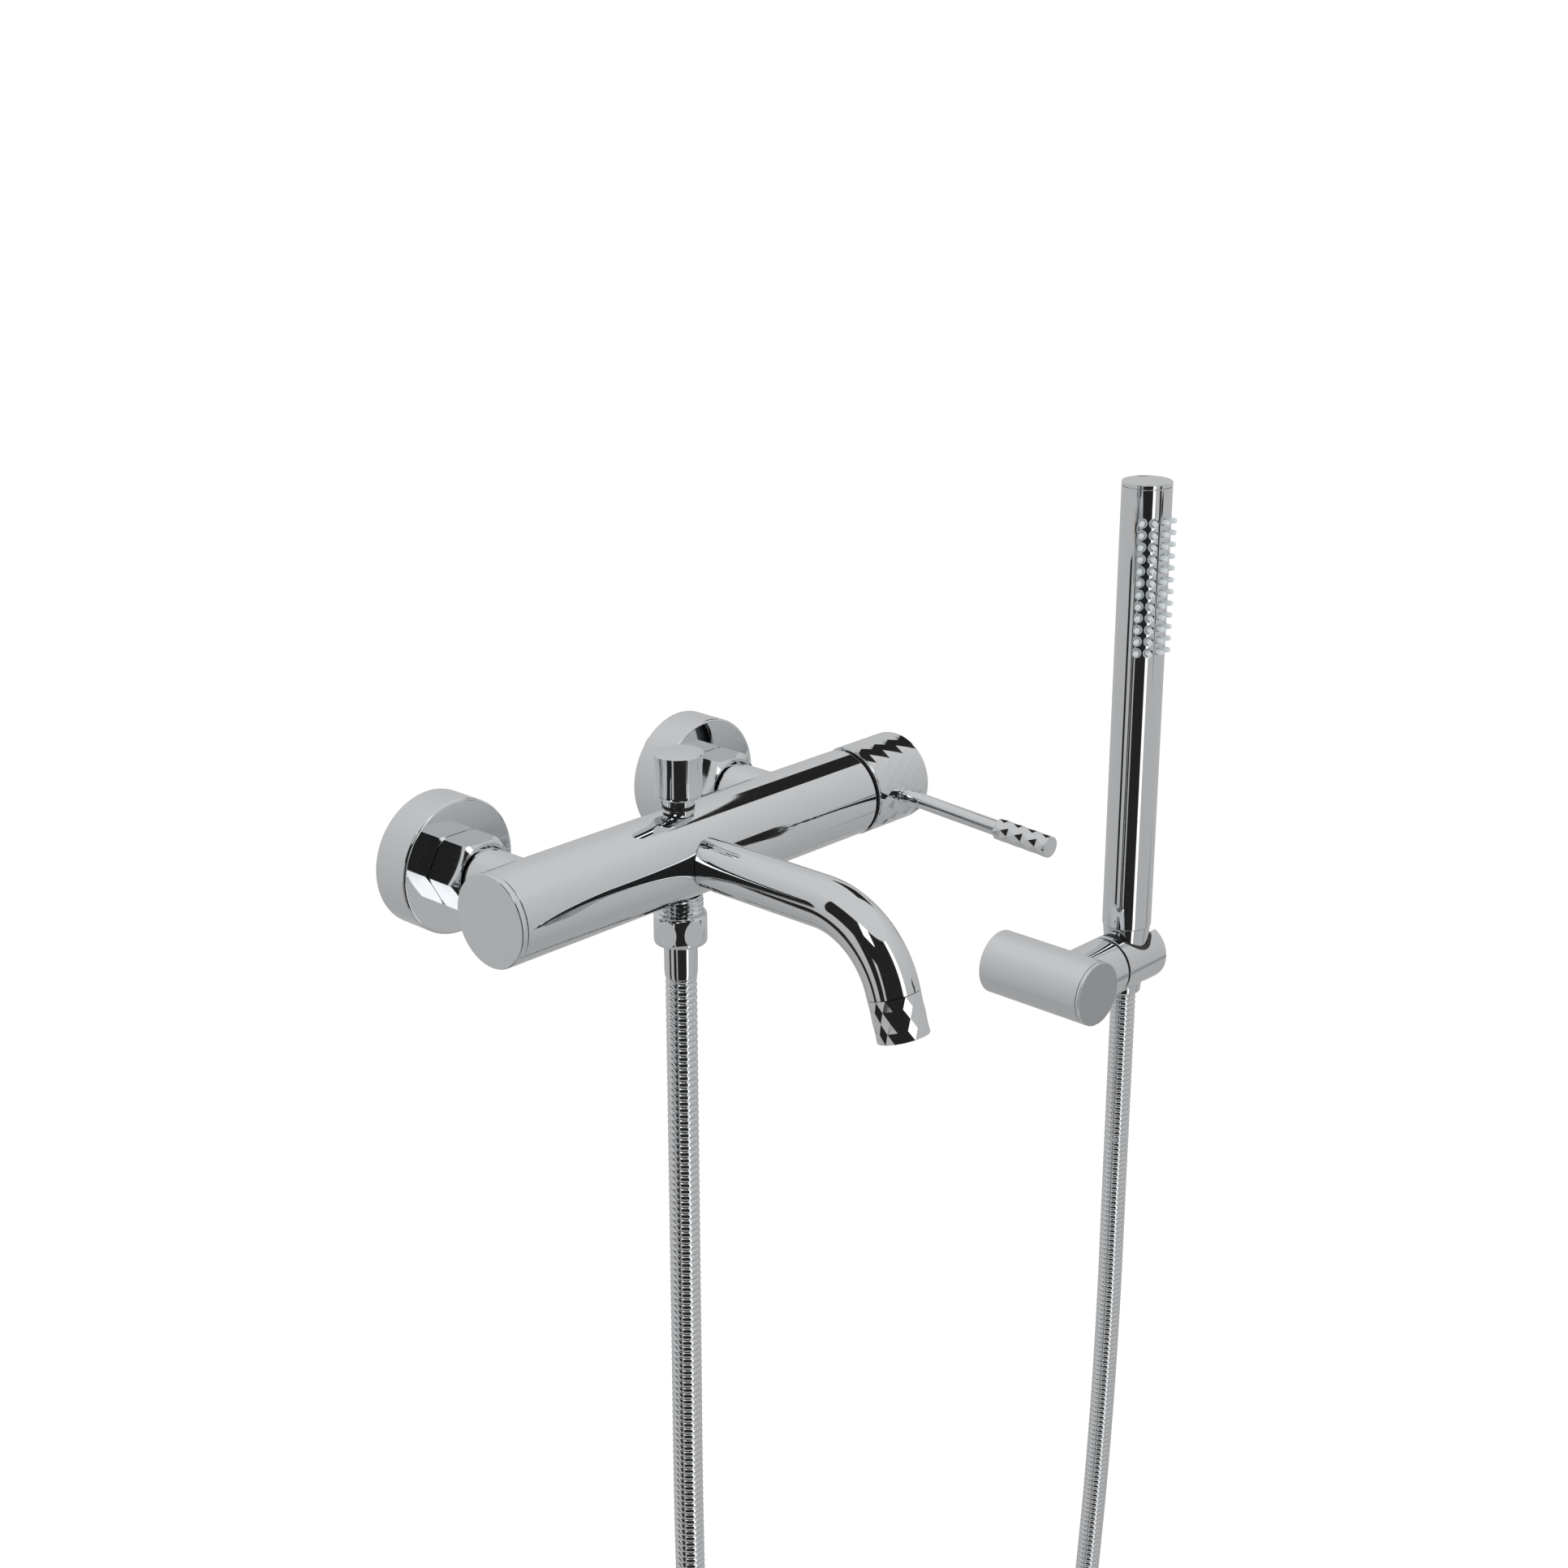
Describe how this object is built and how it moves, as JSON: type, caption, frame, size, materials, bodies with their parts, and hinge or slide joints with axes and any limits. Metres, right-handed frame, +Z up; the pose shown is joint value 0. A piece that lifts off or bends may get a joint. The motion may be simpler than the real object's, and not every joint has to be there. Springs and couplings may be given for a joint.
{
  "type": "wall mounted bath faucet",
  "caption": "Round chrome wall mounted bath faucet with a side lever, a curved spout, a pull-up diverter, and a stick hand shower in a tilting wall holder on a flexible hose.",
  "frame": {"origin": "on the wall's face, midway between the two water inlets, at the height of the mixer's axis", "axes": "+X to the right for a person who faces the wall, +Y into the wall, +Z up. The mixer, the spout and the lever stand out of the wall towards -Y"},
  "size_m": [0.499, 0.2283, 0.8832],
  "materials": {
    "chrome": "mirror polished chrome plating on brass",
    "brass": "machined",
    "steel": "plain stainless steel",
    "rubber": "matt",
    "black_plastic": "moulded, satin",
    "white_plastic": "moulded, satin",
    "ceramic": "lapped alumina ceramic",
    "silicone": "soft satin silicone"
  },
  "bodies": {
    "root": {"mixer_body": "chrome", "body_end_cap": "chrome", "union_left": "brass", "union_right": "brass", "rosette_left": "chrome", "rosette_right": "chrome", "union_nut_left": "chrome", "union_nut_right": "chrome", "inlet_washer_left": "rubber", "inlet_washer_right": "rubber", "cartridge_seal": "rubber", "cartridge_base": "white_plastic", "fixed_disc": "ceramic", "cartridge_housing": "white_plastic", "retaining_nut": "brass", "dome_collar": "black_plastic", "diverter_bonnet": "chrome", "bonnet_ring": "rubber", "diverter_spring": "steel", "shower_outlet": "chrome", "check_valve": "white_plastic", "hose_washer": "rubber", "hose_ferrule": "chrome", "hose_nut": "chrome", "hose_run": "chrome", "spout": "chrome", "spout_tip": "chrome", "aerator": "white_plastic", "aerator_seal": "rubber", "holder_post": "chrome", "holder_cap": "chrome", "holder_bracket": "steel", "holder_grub_screw": "steel", "cradle_pin": "steel", "friction_washer": "black_plastic"},
    "rotor": {"cartridge_rotor": "black_plastic", "tilt_pin": "steel"},
    "disc": {"moving_disc": "ceramic", "disc_carrier": "white_plastic"},
    "handle": {"spindle": "brass", "handle_cap": "chrome", "lever_rod": "chrome", "lever_tip": "chrome", "handle_grub_screw": "steel"},
    "diverter": {"diverter_knob": "chrome", "diverter_stem": "brass", "diverter_seal": "rubber"},
    "cradle": {"cradle": "chrome", "cradle_liner": "black_plastic"},
    "hose_end": {"cone_nut": "chrome", "hose_tail": "chrome"},
    "handset": {"handset_tube": "chrome", "handset_lid": "chrome", "nozzle_strip": "silicone"}
  },
  "joints": [
    {"name": "lever_turn", "type": "hinge", "parent": "root", "child": "rotor", "pos_m": [0.107, -0.075, 0], "axis": [1, 0, 0], "range_deg": [-45, 45]},
    {"name": "lever_lift", "type": "hinge", "parent": "rotor", "child": "handle", "pos_m": [0.107, -0.075, 0], "axis": [0, -0.0523, 0.9986], "range_deg": [0, 20]},
    {"name": "disc_slide", "type": "slide", "parent": "rotor", "child": "disc", "axis": [0, -0.9986, -0.0523], "range_m": [0, 0.0035]},
    {"name": "diverter_pull", "type": "slide", "parent": "root", "child": "diverter", "axis": [0, 0, 1], "range_m": [0, 0.007], "stiffness_N_per_m": 250, "springref_m": -0.004, "deforming": ["diverter_spring"]},
    {"name": "cradle_tilt", "type": "hinge", "parent": "root", "child": "cradle", "pos_m": [0.357, -0.0483, -0.173], "axis": [1, 0, 0], "range_deg": [-5, 20]},
    {"name": "cone_lift", "type": "slide", "parent": "cradle", "child": "hose_end", "axis": [0, 0, 1], "range_m": [0, 0.036]},
    {"name": "handset_swivel", "type": "hinge", "parent": "hose_end", "child": "handset", "pos_m": [0.375, -0.0483, -0.152], "axis": [0, 0, 1], "continuous": true}
  ],
  "couplings": [
    {"joint": "disc_slide", "follows": "lever_lift", "m_per_rad": 0.01}
  ]
}
